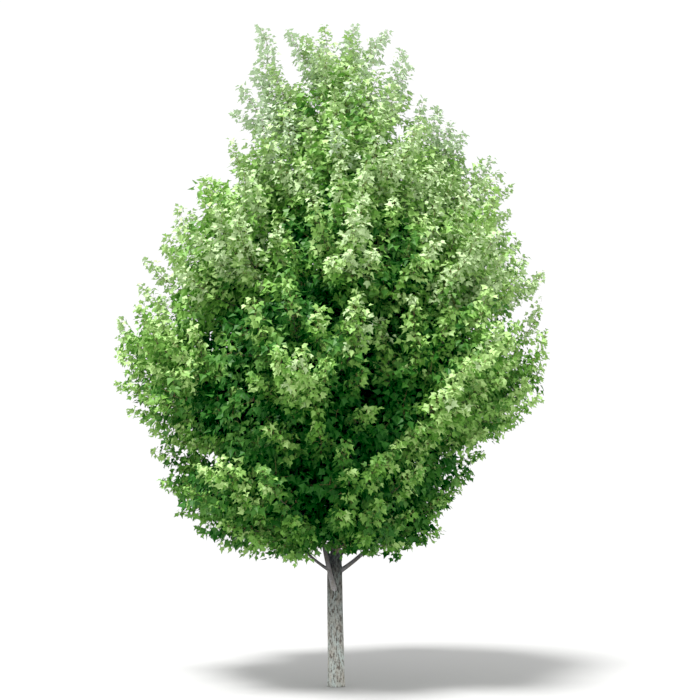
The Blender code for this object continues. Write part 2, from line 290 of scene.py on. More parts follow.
def trunk_line(height):
    climb = np.maximum(0.0, height - FLARE_HEIGHT)
    lean = TRUNK_LEAN * np.sin(np.minimum(1.0, climb / FORK_HEIGHT) * math.pi / 2)
    sway = np.sin(np.maximum(0.0, height - FORK_HEIGHT) * SWAY_PER_METRE)
    return np.stack([lean + LEADER_SWAY[0] * sway, LEADER_SWAY[1] * sway, height + 0.0 * sway], axis=-1)


def trunk_radius(height):
    below = FOOT_RADIUS + (FORK_RADIUS - FOOT_RADIUS) * height / FORK_HEIGHT
    climb = (height - FORK_HEIGHT) / (TRUNK_TOP - FORK_HEIGHT)
    above = LEADER_RADIUS + (TRUNK_TIP_RADIUS - LEADER_RADIUS) * climb
    return below + (above - below) * smooth_step((height - FORK_HEIGHT) / FORK_LENGTH)


def outwards(points):
    """The level direction away from the trunk's line."""
    out = points - trunk_line(points[..., 2])
    out[..., 2] = 0.0
    return unit(out)


def hang_limit(points):
    return np.interp(points[..., 0], HANG_RIGHT, HANG_HEIGHT)


def near_box(points):
    """Which of several (item, point, xyz) lie with all their points within reach of the solids' box."""
    low, high = np.array(cad_box[0]) - BEYOND_BOX, np.array(cad_box[1]) + BEYOND_BOX
    return ((points > low) & (points < high)).all((1, 2))


def bezier(a, b, c, d, count):
    t = np.linspace(0.0, 1.0, count)[:, None]
    return (1 - t) ** 3 * a + 3 * (1 - t) ** 2 * t * b + 3 * (1 - t) * t ** 2 * c + t ** 3 * d


def arc_lengths(path):
    steps = np.linalg.norm(np.diff(path, axis=0), axis=1)
    return np.concatenate([[0.0], np.cumsum(steps)])


def at_length(path, lengths, where):
    return np.stack([np.interp(where, lengths, path[:, k]) for k in range(3)], -1)


def square_to(direction):
    guide = UP if abs(direction[2]) < 0.9 else np.array([1.0, 0.0, 0.0])
    across = unit(np.cross(direction, guide))
    return across, np.cross(direction, across)


# ---- camera geometry ----

FORWARD = np.array([0.0, math.cos(PITCH), math.sin(PITCH)])
VIEW_UP = np.array([0.0, -math.sin(PITCH), math.cos(PITCH)])


def through_pixel(across, down):
    """The direction from the eye through a pixel of the frame."""
    half = FRAME_PIXELS / 2.0
    sideways = np.array([across - half, 0.0, 0.0]) / FOCAL_PIXELS
    return unit(sideways + FORWARD + (half - down) / FOCAL_PIXELS * VIEW_UP)


def to_pixels(points):
    offset = points - EYE
    depth = offset @ FORWARD
    half = FRAME_PIXELS / 2.0
    return half + FOCAL_PIXELS * offset[..., 0] / depth, half - FOCAL_PIXELS * (offset @ VIEW_UP) / depth


# ---- meshes ----


def mesh_object(name, points, triangles, materials, kinds=None, smooth=False):
    """One object from arrays of points and triangles, with a material number for each triangle."""
    mesh = bpy.data.meshes.new(name)
    count = len(triangles)
    mesh.vertices.add(len(points))
    mesh.vertices.foreach_set("co", np.asarray(points, np.float32).ravel())
    mesh.loops.add(3 * count)
    mesh.loops.foreach_set("vertex_index", np.asarray(triangles, np.int32).ravel())
    mesh.polygons.add(count)
    mesh.polygons.foreach_set("loop_start", np.arange(0, 3 * count, 3, dtype=np.int32))
    mesh.polygons.foreach_set("use_smooth", np.full(count, smooth))
    if kinds is not None:
        mesh.polygons.foreach_set("material_index", np.asarray(kinds, np.int32))
    for paint in materials:
        mesh.materials.append(paint)
    mesh.update(calc_edges=True)
    mesh.validate()
    made = bpy.data.objects.new(name, mesh)
    bpy.context.scene.collection.objects.link(made)
    return made


def joined(parts):
    """Several (points, triangles) pairs as one."""
    points = []
    triangles = []
    base = 0
    for some_points, some_triangles in parts:
        points.append(some_points)
        triangles.append(some_triangles + base)
        base += len(some_points)
    return np.concatenate(points), np.concatenate(triangles)


def tubes(paths, radii, sides):
    """Limbs along paths (limb, point, xyz) that end in a point at their last one, closed at both ends."""
    count, steps, _ = paths.shape
    along = unit(np.gradient(paths, axis=1))
    mean = np.abs(along.mean(axis=1))
    guide = np.eye(3)[mean.argmin(axis=1)][:, None, :]
    across = unit(np.cross(along, np.broadcast_to(guide, along.shape)))
    beside = np.cross(along, across)
    turn = np.arange(sides) * 2.0 * math.pi / sides
    ring = across[:, :, None] * np.cos(turn)[:, None] + beside[:, :, None] * np.sin(turn)[:, None]
    rings = (paths[:, :, None] + radii[:, :, None, None] * ring)[:, :-1].reshape(count, -1, 3)
    points = np.concatenate([rings, paths[:, -1:]], axis=1).reshape(-1, 3)
    each = (steps - 1) * sides + 1
    limb, step, side = np.meshgrid(
        np.arange(count), np.arange(steps - 2), np.arange(sides), indexing="ij"
    )
    start = limb * each + step * sides
    a = (start + side).ravel()
    b = (start + (side + 1) % sides).ravel()
    first = (np.arange(count) * each)[:, None]
    last = first + (steps - 2) * sides
    around = np.arange(sides)[None, :]
    fan = np.arange(1, sides - 1)[None, :]
    point = first + each - 1 + 0 * around
    faces = [
        np.stack([a, b, b + sides], 1),
        np.stack([a, b + sides, a + sides], 1),
        np.stack([last + around, last + (around + 1) % sides, point], -1).reshape(-1, 3),
        np.stack([first + 0 * fan, first + fan + 1, first + fan], -1).reshape(-1, 3),
    ]
    return points, np.concatenate(faces)


# ---- materials ----


def principled(name, colour, roughness, specular):
    made = bpy.data.materials.new(name)
    made.use_nodes = True
    made.diffuse_color = (*colour, 1.0)
    shader = made.node_tree.nodes["Principled BSDF"]
    shader.inputs["Base Color"].default_value = (*colour, 1.0)
    shader.inputs["Roughness"].default_value = roughness
    shader.inputs["Specular IOR Level"].default_value = specular
    return made


def ramp_node(tree, value, stops):
    """A colour ramp through (position, colour) stops."""
    made = tree.nodes.new("ShaderNodeValToRGB")
    while len(made.color_ramp.elements) < len(stops):
        made.color_ramp.elements.new(0.5)
    for element, (position, colour) in zip(made.color_ramp.elements, stops):
        element.position = position
        element.color = (*colour, 1.0)
    tree.links.new(value, made.inputs["Fac"])
    return made


def mix_node(tree, factor, first, second, blend="MIX"):
    """A mix of two colour sockets, by a number or a colour socket's value."""
    made = tree.nodes.new("ShaderNodeMix")
    made.data_type = "RGBA"
    made.blend_type = blend
    if isinstance(factor, float):
        made.inputs["Factor"].default_value = factor
    else:
        tree.links.new(factor, made.inputs["Factor"])
    tree.links.new(first, made.inputs["A"])
    tree.links.new(second, made.inputs["B"])
    return made.outputs["Result"]


BLACK = (0.0, 0.0, 0.0)
WHITE = (1.0, 1.0, 1.0)
FLECKS = (62.0, 62.0, 20.0)  # noise per metre along each axis
WRINKLES = (30.0, 30.0, 110.0)
BLOTCHES = (11.0, 11.0, 5.0)
WRINKLE_GREY = (0.70, 0.70, 0.70)
FLECK_EDGE = 0.07
PAINTED_SHADE_TOP = 2.0  # the height up to which the crown's shade is painted into the bark
BUMP_HEIGHT = 0.002


def bark_paint(name, plate, tan, groove, cover, shade_by_height, bump):
    """Bark with dark flecks that run up the limb, cover telling how many; darker with height, which paints
    the crown's shade on it.
    """
    made = principled(name, plate, 0.88, 0.2)
    tree = made.node_tree
    shader = tree.nodes["Principled BSDF"]
    spot = tree.nodes.new("ShaderNodeTexCoord").outputs["Object"]

    def stretched(scale, detail):
        stretch = tree.nodes.new("ShaderNodeMapping")
        stretch.inputs["Scale"].default_value = scale
        tree.links.new(spot, stretch.inputs["Vector"])
        made = tree.nodes.new("ShaderNodeTexNoise")
        made.inputs["Scale"].default_value = 1.0
        made.inputs["Detail"].default_value = detail
        made.inputs["Roughness"].default_value = 0.6
        tree.links.new(stretch.outputs["Vector"], made.inputs["Vector"])
        return made.outputs["Fac"]

    flecks = stretched(FLECKS, 4.0)
    wrinkles = stretched(WRINKLES, 3.0)
    blotches = stretched(BLOTCHES, 3.0)
    ground = ramp_node(tree, blotches, ((0.40, plate), (0.62, tan))).outputs["Color"]
    lines = ramp_node(tree, wrinkles, ((0.35, WRINKLE_GREY), (0.60, WHITE))).outputs["Color"]
    ground = mix_node(tree, 1.0, ground, lines, "MULTIPLY")
    dark = ramp_node(tree, flecks, ((0.0, groove), (1.0, groove))).outputs["Color"]
    edges = ((cover - FLECK_EDGE, WHITE), (cover + FLECK_EDGE, BLACK))
    mask = ramp_node(tree, flecks, edges).outputs["Color"]
    ground = mix_node(tree, mask, ground, dark)
    # painted shade: the bark is darker with height, for the crown's shade above it
    split = tree.nodes.new("ShaderNodeSeparateXYZ")
    tree.links.new(spot, split.inputs["Vector"])
    rise = tree.nodes.new("ShaderNodeMath")
    rise.operation = "DIVIDE"
    rise.inputs[1].default_value = PAINTED_SHADE_TOP
    tree.links.new(split.outputs["Z"], rise.inputs[0])
    stops = [(height / PAINTED_SHADE_TOP, (grey, grey, grey)) for height, grey in shade_by_height]
    painted_shade = ramp_node(tree, rise.outputs["Value"], stops).outputs["Color"]
    ground = mix_node(tree, 1.0, ground, painted_shade, "MULTIPLY")
    tree.links.new(ground, shader.inputs["Base Color"])
    relief = tree.nodes.new("ShaderNodeBump")
    relief.inputs["Strength"].default_value = bump
    relief.inputs["Distance"].default_value = BUMP_HEIGHT
    tree.links.new(flecks, relief.inputs["Height"])
    tree.links.new(relief.outputs["Normal"], shader.inputs["Normal"])
    return made


# ---- trunk and boughs in bark ----

BARK_DEPTH = 0.0045
TRUNK_RING = 0.009  # between its rings, as far as it is bare
TRUNK_SIDES = 120
BARE_HEIGHT = 2.1  # above this the leaves hide the trunk, and it is simpler
HIDDEN_RINGS = 40
SWAY_GRAIN = (14.0, 3.0)  # noise per metre across the trunk and up it, for each part of the bark
PLATE_GRAIN = (62.0, 7.5)
FINE_GRAIN = (170.0, 46.0)
PLATE_SWAY = 0.48


def grain(x, y, height, scale, shift=0.0):
    across, up = scale
    return noise.noise((x * across + shift, y * across, height * up))


def trunk_mesh(heights):
    """The trunk with bark on it through rings at these heights, closed at both ends."""
    steps = len(heights)
    sides = TRUNK_SIDES
    centre = trunk_line(heights)
    reach = trunk_radius(heights)
    turn = np.arange(sides) * 2.0 * math.pi / sides
    ring = np.stack([np.cos(turn), np.sin(turn), np.zeros(sides)], -1)
    near = np.clip(1.0 - heights / FLARE_HEIGHT, 0.0, 1.0) ** 2
    ridge = FLARE_WIDTH + FLARE_RIDGE_DEPTH * np.cos(FLARE_RIDGES * turn + FLARE_TURN)
    spread = reach[:, None] + near[:, None] * ridge[None, :]
    depths = np.empty((steps, sides))
    for i, height in enumerate(heights):
        for j in range(sides):
            x, y = ring[j, :2] * FORK_RADIUS
            sway = grain(x, y, height, SWAY_GRAIN) * PLATE_SWAY
            plate = grain(x, y, height, PLATE_GRAIN, sway)
            fine = grain(x, y, height, FINE_GRAIN)
            # flat plates, with a groove wherever the plates' noise changes sign
            depths[i, j] = min(0.5, abs(plate) * 2.4) - 0.26 + 0.20 * fine
    spread = spread + BARK_DEPTH * depths
    points = centre[:, None] + spread[:, :, None] * ring[None]
    step, side = np.meshgrid(np.arange(steps - 1), np.arange(sides), indexing="ij")
    a = (step * sides + side).ravel()
    b = (step * sides + (side + 1) % sides).ravel()
    points = np.concatenate([points.reshape(-1, 3), centre[[0, -1]]])
    foot, tip = steps * sides, steps * sides + 1
    around = np.arange(sides)
    onward = (around + 1) % sides
    top = (steps - 1) * sides
    faces = [
        np.stack([a, b, b + sides], 1),
        np.stack([a, b + sides, a + sides], 1),
        np.stack([np.full(sides, foot), onward, around], 1),
        np.stack([np.full(sides, tip), top + around, top + onward], 1),
    ]
    return points, np.concatenate(faces)


def bough_path(name, count=LIMB_POINTS):
    height, azimuth, out, rise, _, _ = BOUGHS[name]
    share = np.linspace(0.0, 1.0, count)
    climb = rise * (share + (share * share - share) * BOUGH_CURL)
    return trunk_line(np.array(height)) + heading(azimuth) * out * share[:, None] + UP * climb[:, None]


FRONT_COLLAR = (0.012, -0.052, -0.03)  # the front bough's foot runs down the trunk's face as a ridge
BOUGH_COLLAR = 0.55  # how much thicker a bough is where it leaves the trunk
BOUGH_RINGS = 30
BOUGH_SIDES = 14

# Bark: colours of plates, blotches and flecks, how far flecks cover it, relief, and lightness by height,
# which paints the crown's shade on it
TRUNK_COLOURS = ((0.61, 0.70, 0.66), (0.56, 0.54, 0.47), (0.14, 0.12, 0.10))
TRUNK_COVER = 0.47
TRUNK_BUMP = 0.7
BOUGH_COLOURS = ((0.42, 0.41, 0.43), (0.34, 0.31, 0.27), (0.16, 0.14, 0.12))
BOUGH_COVER = 0.36
BOUGH_BUMP = 0.35
# Painted shade under the crown: how light the bark is at each height, on the trunk and on the boughs
TRUNK_PAINTED_SHADE = (
    (0.0, 1.0), (0.33, 0.88), (0.60, 0.60), (0.88, 0.40), (1.15, 0.23), (1.4, 0.12), (2.0, 0.08),
)
BOUGH_PAINTED_SHADE = ((0.0, 1.0), (1.10, 0.66), (1.30, 0.36), (1.55, 0.18), (2.0, 0.15))


def make_wood():
    trunk_paint = bark_paint("trunk_bark", *TRUNK_COLOURS, TRUNK_COVER, TRUNK_PAINTED_SHADE, TRUNK_BUMP)
    bough_paint = bark_paint("bough_bark", *BOUGH_COLOURS, BOUGH_COVER, BOUGH_PAINTED_SHADE, BOUGH_BUMP)
    low = np.arange(0.0, BARE_HEIGHT, TRUNK_RING)
    high = np.linspace(BARE_HEIGHT, TRUNK_TOP, HIDDEN_RINGS)
    points, triangles = trunk_mesh(np.concatenate([low, high]))
    trunk = mesh_object("bark_trunk", points, triangles, [trunk_paint], smooth=True)
    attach(trunk, "root")
    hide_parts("trunk")
    for name in BOUGHS:
        path = bough_path(name, BOUGH_RINGS)
        _, _, _, _, root, tip = BOUGHS[name]
        share = np.linspace(0.0, 1.0, len(path))
        collar = 1.0 + BOUGH_COLLAR * np.exp(-share * 7.0)
        if name == "bough_front_left":
            path = path + np.exp(-((share * 4.0) ** 2))[:, None] * FRONT_COLLAR
            collar *= smooth_step(0.35 + share * 5.0)
        radii = (root + (tip - root) * share) * collar
        points, triangles = tubes(path[None], radii[None], BOUGH_SIDES)
        bough = mesh_object("bark_" + name, points, triangles, [bough_paint], smooth=True)
        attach(bough, "root")
        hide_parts(name)


# ---- the crown's masses, as the solids have them ----


class Mass:
    """One solid of foliage, which a limb, plumes and sprays grow into."""

    def __init__(self, name, shape):
        mesh = shape.data
        mesh.calc_loop_triangles()
        self.name = name
        self.plain = name.replace("foliage_", "")
        self.points = np.array([v.co for v in mesh.vertices])
        self.triangles = np.array([t.vertices for t in mesh.loop_triangles])
        corners = self.points[self.triangles]
        normals = np.cross(corners[:, 1] - corners[:, 0], corners[:, 2] - corners[:, 0])
        self.areas = np.linalg.norm(normals, axis=1) / 2.0
        self.normals = unit(normals)
        centres = corners.mean(axis=1)
        self.centre = (centres * self.areas[:, None]).sum(0) / self.areas.sum()
        self.tree = BVHTree.FromPolygons(self.points.tolist(), self.triangles.tolist())

    def scatter(self, count):
        """Points spread evenly over the surface, with the normal at each."""
        chosen = draw.choice(len(self.areas), count, p=self.areas / self.areas.sum())
        a, b = draw.random((2, count, 1))
        flip = (a + b) > 1.0
        a = np.where(flip, 1.0 - a, a)
        b = np.where(flip, 1.0 - b, b)
        corners = self.points[self.triangles[chosen]]
        spots = corners[:, 0] + a * (corners[:, 1] - corners[:, 0]) + b * (corners[:, 2] - corners[:, 0])
        return spots, self.normals[chosen]


nodes = sorted(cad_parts.items())
masses = [Mass(name, shape) for name, shape in nodes if name.startswith("foliage_")]


# Where a plume ends: the place, the normal of its mass's surface there, the mass's number, how bright it is
Tip = namedtuple("Tip", "place normal owner bright")


def nearest_mass(place):
    found = []
    for number, mass in enumerate(masses):
        _, normal, _, distance = mass.tree.find_nearest(Vector(place))
        found.append((distance, number, np.array(normal)))
    _, number, normal = min(found, key=lambda f: f[0])
    return number, normal


def named_tips():
    tips = []
    for across, down, bright in EDGE_PLUMES:
        way = through_pixel(across, down)
        depth = draw.uniform(-EDGE_DEPTH, EDGE_DEPTH)
        place = EYE + way * (depth - EYE[1]) / way[1]
        place[2] = min(place[2], cad_box[1][2])
        owner, normal = nearest_mass(place)
        tips.append(Tip(place, normal, owner, bright))
    for across, down, bright in FACE_PLUMES:
        way = through_pixel(across, down)
        hits = []
        for number, mass in enumerate(masses):
            spot, normal, _, distance = mass.tree.ray_cast(Vector(EYE), Vector(way))
            if spot is not None:
                hits.append((distance, number, np.array(spot), np.array(normal)))
        if hits:
            _, number, spot, normal = min(hits, key=lambda h: h[0])
            tips.append(Tip(spot - way * FACE_PROUD, normal, number, bright))
    return tips


def hollow_depth(spots):
    """How deep in a dark hollow places are, as the camera sees them: 1 at most, 0 on the far side."""
    across, down = to_pixels(spots)
    depths = [1.0 - ((across - u) / a) ** 2 - ((down - v) / b) ** 2 for u, v, a, b in HOLLOWS]
    return np.where(spots[..., 1] > 0.0, 0.0, np.clip(np.max(depths, axis=0), 0.0, 1.0))


def place_tips():
    """The named tips, then others over the whole open surface, no two closer than the plume gap."""
    tips = named_tips()
    found = []
    for number, mass in enumerate(masses):
        spots, normals = mass.scatter(TIP_TRIES)
        for spot, normal in zip(spots, normals):
            place = Vector(spot)
            others = (m.tree.find_nearest(place, TOUCHING)[0] for m in masses if m is not mass)
            out = spot - trunk_line(spot[2])
            out[2] = 0.0
            inward = np.linalg.norm(out) < CLEAR_OF_TRUNK or normal @ unit(out) < FACING_IN
            if not inward and all(near is None for near in others):
                found.append((spot, normal, number))
    taken = np.array([tip.place for tip in tips])
    for k in draw.permutation(len(found)):
        spot, normal, number = found[k]
        if np.min(np.linalg.norm(taken - spot, axis=1)) < PLUME_GAP or hollow_depth(spot) > 0.0:
            continue
        taken = np.concatenate([taken, spot[None]])
        inset = draw.uniform(*PLUME_INSET)
        tips.append(Tip(spot - normal * inset, normal, number, PLUME_BRIGHT * draw.random() ** 1.3))
    return tips


# ---- limbs ----


def limb_path(mass):
    """The limb inside a mass: up from the trunk or on from its bough, to near the mass's open end."""
    centre = mass.centre
    out = outwards(centre[None])[0]
    far = np.linalg.norm((centre - trunk_line(centre[2]))[:2])
    at_ground, per_metre = LIMB_AIM
    aim = unit(out + UP * (at_ground + per_metre * centre[2]))
    open_end, _, _, _ = mass.tree.ray_cast(Vector(centre), Vector(aim))
    end = centre + (np.array(open_end) - centre) * (LEADER_REACH if mass.plain == "leader" else LIMB_REACH)
    if mass.name in CARRIES:
        start_path = bough_path(CARRIES[mass.name])
        start = start_path[-1]
        first = unit(start_path[-1] - start_path[-2])
    else:
        height = min(centre[2] - LIMB_SLOPE * far - LIMB_DROP, TRUNK_TOP - LIMB_BELOW_TIP)
        start = trunk_line(np.array(height))
        first = unit(out + UP * LIMB_START)
    reach = np.linalg.norm(end - start)
    return bezier(start, start + first * reach * CURVE_IN, end - aim * reach * CURVE_OUT, end, LIMB_POINTS)


def limb_radii(mass, path):
    if mass.name in CARRIES:
        root = BOUGHS[CARRIES[mass.name]][5]
    else:
        share, more = LIMB_ROOT
        root = share * trunk_radius(path[0, 2]) + more
    return np.linspace(root, LIMB_TIP_RADIUS, len(path))


# ---- plumes ----


def plume_path(tip, limb):
    """From the limb to the tip: outwards, then turning up; it lies flatter near the crown's underside."""
    out = outwards(tip.place[None])[0]
    flat = np.array([1.0, 1.0, 0.0])
    level = unit(out + 0.6 * tip.normal * flat + draw.normal(0.0, 0.15, 3) * flat)
    lift = np.interp(tip.normal[2], LIFT_FACING, PLUME_LIFT)
    lift = math.radians(lift + draw.normal(0.0, LIFT_SPREAD))
    room = tip.place[2] - float(hang_limit(tip.place)) - PLUME_CLEARANCE
    lift = min(lift, math.asin(min(max(room / 0.75, -0.25), 1.0)))
    finish = level * math.cos(lift) + UP * math.sin(lift)
    root = tip.place - finish * 0.9
    apart = np.linalg.norm(limb - root, axis=1)
    above = np.maximum(0.0, limb[:, 2] - root[2])
    start = limb[int(np.argmin(apart + 0.8 * above))]
    reach = np.linalg.norm(tip.place - start)
    first = unit(unit(tip.place - start) + level * 0.45)
    turn_at = tip.place - finish * min(0.62, reach * 0.42)
    return bezier(start, start + first * reach * 0.38, turn_at, tip.place, PLUME_POINTS)


class Twigs:
    """The twigs of one mass and what their leaves need to know."""

    def __init__(self):
        self.paths = []
        self.share = []  # of the way up its plume, 0 for those in the shade
        self.bright = []
        self.inner = []
        self.whim = []  # how much paler its plume is than most
        self.ragged = []  # how far over the common limit its leaves hang

    def add(self, base, along, away, opening, length, rise, share, bright, inner, whim):
        first = along * math.cos(opening) + away * math.sin(opening)
        last = unit(first + UP * rise + draw.normal(0.0, TWIG_STRAY, 3))
        middle = base + first * length * 0.5
        end = base + (first + last) * length * 0.5
        t = np.linspace(0.0, 1.0, TWIG_POINTS)[:, None]
        self.paths.append((1 - t) ** 2 * base + 2 * (1 - t) * t * middle + t * t * end)
        self.share.append(share)
        self.bright.append(bright)
        self.inner.append(inner)
        self.whim.append(whim)
        self.ragged.append(fray.normal(0.0, RAGGED))

    def pairs_along(self, path, start, stop, gap, length_at, share_at, bright, inner, whim=0.0):
        """Opposite pairs of twigs from start to stop along a path, each pair turned from the last."""
        lengths = arc_lengths(path)
        turn = draw.uniform(0.0, math.pi)
        for place in np.arange(start, stop, gap):
            base, ahead = at_length(path, lengths, np.array([place, place + 0.02]))
            along = unit(ahead - base)
            across, beside = square_to(along)
            turn += math.pi / 2 + draw.normal(0.0, 0.25)
            for side in (0.0, math.pi):
                away = across * math.cos(turn + side) + beside * math.sin(turn + side)
                share = share_at(place)
                opening = math.radians(draw.uniform(*TWIG_OPENING) - TWIG_CLOSING * share)
                length = length_at(place) * draw.uniform(*TWIG_SPREAD)
                self.add(base, along, away, opening, length, TWIG_RISE, share, bright, inner, whim)

    def shade_along(self, path, start, stop, gap):
        """Pairs of long shaded twigs."""

        def length_at(place):
            return draw.uniform(*INNER_TWIG_LENGTH)

        self.pairs_along(path, start, stop, gap, length_at, lambda place: 0.0, 0.0, True)

    def drawn(self):
        """Which twigs are kept: those above the crown's underside and near enough to the solids' box."""
        paths = np.array(self.paths)
        lowest = hang_limit(paths[:, -1]) + np.array(self.ragged) - 0.02
        return near_box(paths) & (paths[:, -1, 2] > lowest)


def grow_plume(twigs, path, bright):
    """Opposite pairs of twigs along a plume: long and shaded far in, then ever shorter to its tip."""
    total = arc_lengths(path)[-1]
    start = max(0.10 * total, total - PLUME_LEAFY)
    short, long = TWIG_LENGTH

    def share_at(place):
        return (place - start) / (total - start)

    def length_at(place):
        return short + (long - short) * (1.0 - share_at(place))

    twigs.shade_along(path, PLUME_BARE, start, INNER_NODE_GAP)
    whim = draw.normal(0.0, PLUME_WHIM)
    twigs.pairs_along(path, start, total - 0.02, NODE_GAP, length_at, share_at, bright, False, whim)
    along = unit(path[-1] - path[-2])
    across, _ = square_to(along)
    twigs.add(path[-1], along, across, 0.0, short, TIP_TWIG_RISE, 1.0, bright, False, whim)


def place_fill(tips):
    """Ends of the shaded sprays: places inside the masses, kept apart from each other and from the tips."""
    taken = [tip.place for tip in tips]
    found = []
    for number, mass in enumerate(masses):
        spots, _ = mass.scatter(FILL_TRIES)
        deep = draw.uniform(0.10, 1.0, (len(spots), 1)) ** 0.5
        for spot in mass.centre + (spots - mass.centre) * deep * FILL_REACH:
            out = spot - trunk_line(spot[2])
            clear = math.hypot(out[0], out[1]) > CLEAR_OF_TRUNK
            if clear and hang_limit(spot) + FILL_CLEARANCE < spot[2] < FILL_TOP:
                found.append((spot, number))
    kept = []
    for k in draw.permutation(len(found)):
        spot, number = found[k]
        if np.min(np.linalg.norm(np.array(taken) - spot, axis=1)) < FILL_GAP:
            continue
        taken.append(spot)
        kept.append((spot, number))
    return kept


def fill_path(spot, limb):
    """A shaded spray's stem, from the limb to its end."""
    out = outwards(spot[None])[0]
    finish = unit(out * 0.8 + UP * 0.5 + draw.normal(0.0, 0.25, 3))
    apart = np.linalg.norm(limb - (spot - finish * 0.4), axis=1)
    start = limb[int(np.argmin(apart + 0.5 * np.maximum(0.0, limb[:, 2] - spot[2])))]
    reach = np.linalg.norm(spot - start)
    first = unit(unit(spot - start) + out * 0.3)
    turn_at = spot - finish * reach * CURVE_OUT
    return bezier(start, start + first * reach * CURVE_IN, turn_at, spot, FILL_POINTS)


# ---- leaves ----

# Right half of a leaf, its stalk's end at the origin and its tip at y = 1: three lobes and round shoulders.
LEAF_HALF = ((0.27, 0.03), (0.50, 0.46), (0.22, 0.52))
INNER_LEAF_HALF = ((0.44, 0.30), (0.22, 0.55))


def leaf_template(half):
    """A flat leaf's points, and its triangles as a fan from its stalk's end."""
    right = np.array(half)
    left = right[::-1] * (-1.0, 1.0)
    flat = np.concatenate([[(0.0, 0.0)], right, [(0.0, 1.0)], left])
    triangles = np.array([(0, k, k + 1) for k in range(1, len(flat) - 1)])
    return flat, triangles


def leaf_spots(twigs, chosen, gap):
    """For each leaf: where it joins its twig, the twig's way, its turn round it, the twig, if at its end."""
    bases, alongs, turns, numbers, ends = [], [], [], [], []
    for number in chosen:
        path = twigs.paths[number]
        lengths = arc_lengths(path)
        total = lengths[-1]
        where = np.arange(min(0.4 * total, TWIG_BARE), total - 0.3 * gap, gap)
        where = np.concatenate([where, [total]])
        spots = at_length(path, lengths, where)
        along = unit(path[-1] - path[0])
        turn = draw.uniform(0.0, math.pi)
        for k, spot in enumerate(spots):
            turn += math.pi / 2
            for side in (0.0, math.pi):
                bases.append(spot)
                alongs.append(along)
                turns.append(turn + side)
                numbers.append(number)
                ends.append(k == len(spots) - 1)
    return np.array(bases), np.array(alongs), np.array(turns), np.array(numbers), np.array(ends)


def grow_leaves(twigs, inner):
    """Points, blade triangles, stalk triangles, each leaf's twig and its triangles, for one kind of leaf."""
    chosen = [k for k, kind in enumerate(twigs.inner) if kind == inner]
    if not chosen:
        return None
    flat, blade = leaf_template(INNER_LEAF_HALF if inner else LEAF_HALF)
    bases, alongs, turns, numbers, ends = leaf_spots(twigs, chosen, INNER_LEAF_GAP if inner else LEAF_GAP)
    count = len(bases)
    guide = np.where(np.abs(alongs[:, 2:]) < 0.9, UP, np.array([1.0, 0.0, 0.0]))
    across = unit(np.cross(alongs, guide))
    beside = np.cross(alongs, across)
    away = across * np.cos(turns)[:, None] + beside * np.sin(turns)[:, None]
    out = outwards(bases.copy())
    share = np.array(twigs.share)[numbers]
    height = bases[:, 2]
    stalk_way = unit(alongs * 0.5 + away * 0.9 + UP * 0.15 + draw.normal(0.0, 0.18, (count, 3)))
    stalk = draw.uniform(*STALK_LENGTH, count) * (1.0 - STALK_SHORTER * share)
    blade_at = bases + stalk_way * stalk[:, None]
    level = stalk_way + out * 0.25
    level[:, 2] = 0.0
    level = unit(level)
    at_ground, per_metre = LEAF_DROOP
    usual = np.clip(at_ground - per_metre * height, *DROOP_LIMITS)
    droop = np.radians(draw.normal(usual, DROOP_SPREAD, count) - DROOP_LOSS * share)
    loose = np.interp(height, LOOSE_AT, LOOSE)[:, None]
    hanging = level * np.cos(droop)[:, None] - UP * np.sin(droop)[:, None]
    midrib = unit(hanging + draw.normal(0.0, 0.12, (count, 3)))
    face = unit(UP * 0.8 + out * 0.35 + draw.normal(0.0, 1.0, (count, 3)) * loose)
    normal = unit(face - midrib * (face * midrib).sum(1, keepdims=True))
    side = np.cross(midrib, normal)
    size = draw.uniform(*(INNER_LEAF_LENGTH if inner else LEAF_LENGTH), count)
    size = size * (1.0 - LEAF_SMALLER * ends - LEAF_SMALLER * share)
    wide = size * draw.uniform(*LEAF_WIDTH, count)
    fold = np.tan(draw.uniform(*LEAF_FOLD, count))
    curl = draw.uniform(*LEAF_CURL, count)
    jitter = draw.normal(0.0, LEAF_UNEVEN, (2, count, len(flat)))
    jitter[:, :, 0] = 0.0
    x = (flat[:, 0] + jitter[0]) * wide[:, None]
    y = (flat[:, 1] + jitter[1]) * size[:, None]
    z = np.abs(x) * fold[:, None] - curl[:, None] * (flat[:, 1] ** 2)[None, :] * size[:, None]
    points = (
        blade_at[:, None]
        + x[:, :, None] * side[:, None]
        + y[:, :, None] * midrib[:, None]
        + z[:, :, None] * normal[:, None]
    )
    lowest = hang_limit(blade_at) + np.array(twigs.ragged)[numbers]
    kept = twigs.drawn()[numbers] & near_box(points) & (points[:, :, 2].min(1) > lowest)
    points, numbers = points[kept], numbers[kept]
    bases, blade_at, side = bases[kept], blade_at[kept], side[kept]
    count = len(points)
    per_leaf = len(flat)
    blades = (blade[None] + (np.arange(count) * per_leaf)[:, None, None]).reshape(-1, 3)
    if inner:
        return points.reshape(-1, 3), blades, np.zeros((0, 3), int), numbers, len(blade)
    edge = side * (STALK_WIDTH / 2.0)
    stalks = np.stack([bases - edge, bases + edge, blade_at], 1)
    stalk_faces = count * per_leaf + np.arange(3 * count).reshape(-1, 3)
    points = np.concatenate([points.reshape(-1, 3), stalks.reshape(-1, 3)])
    return points, blades, stalk_faces, numbers, len(blade)


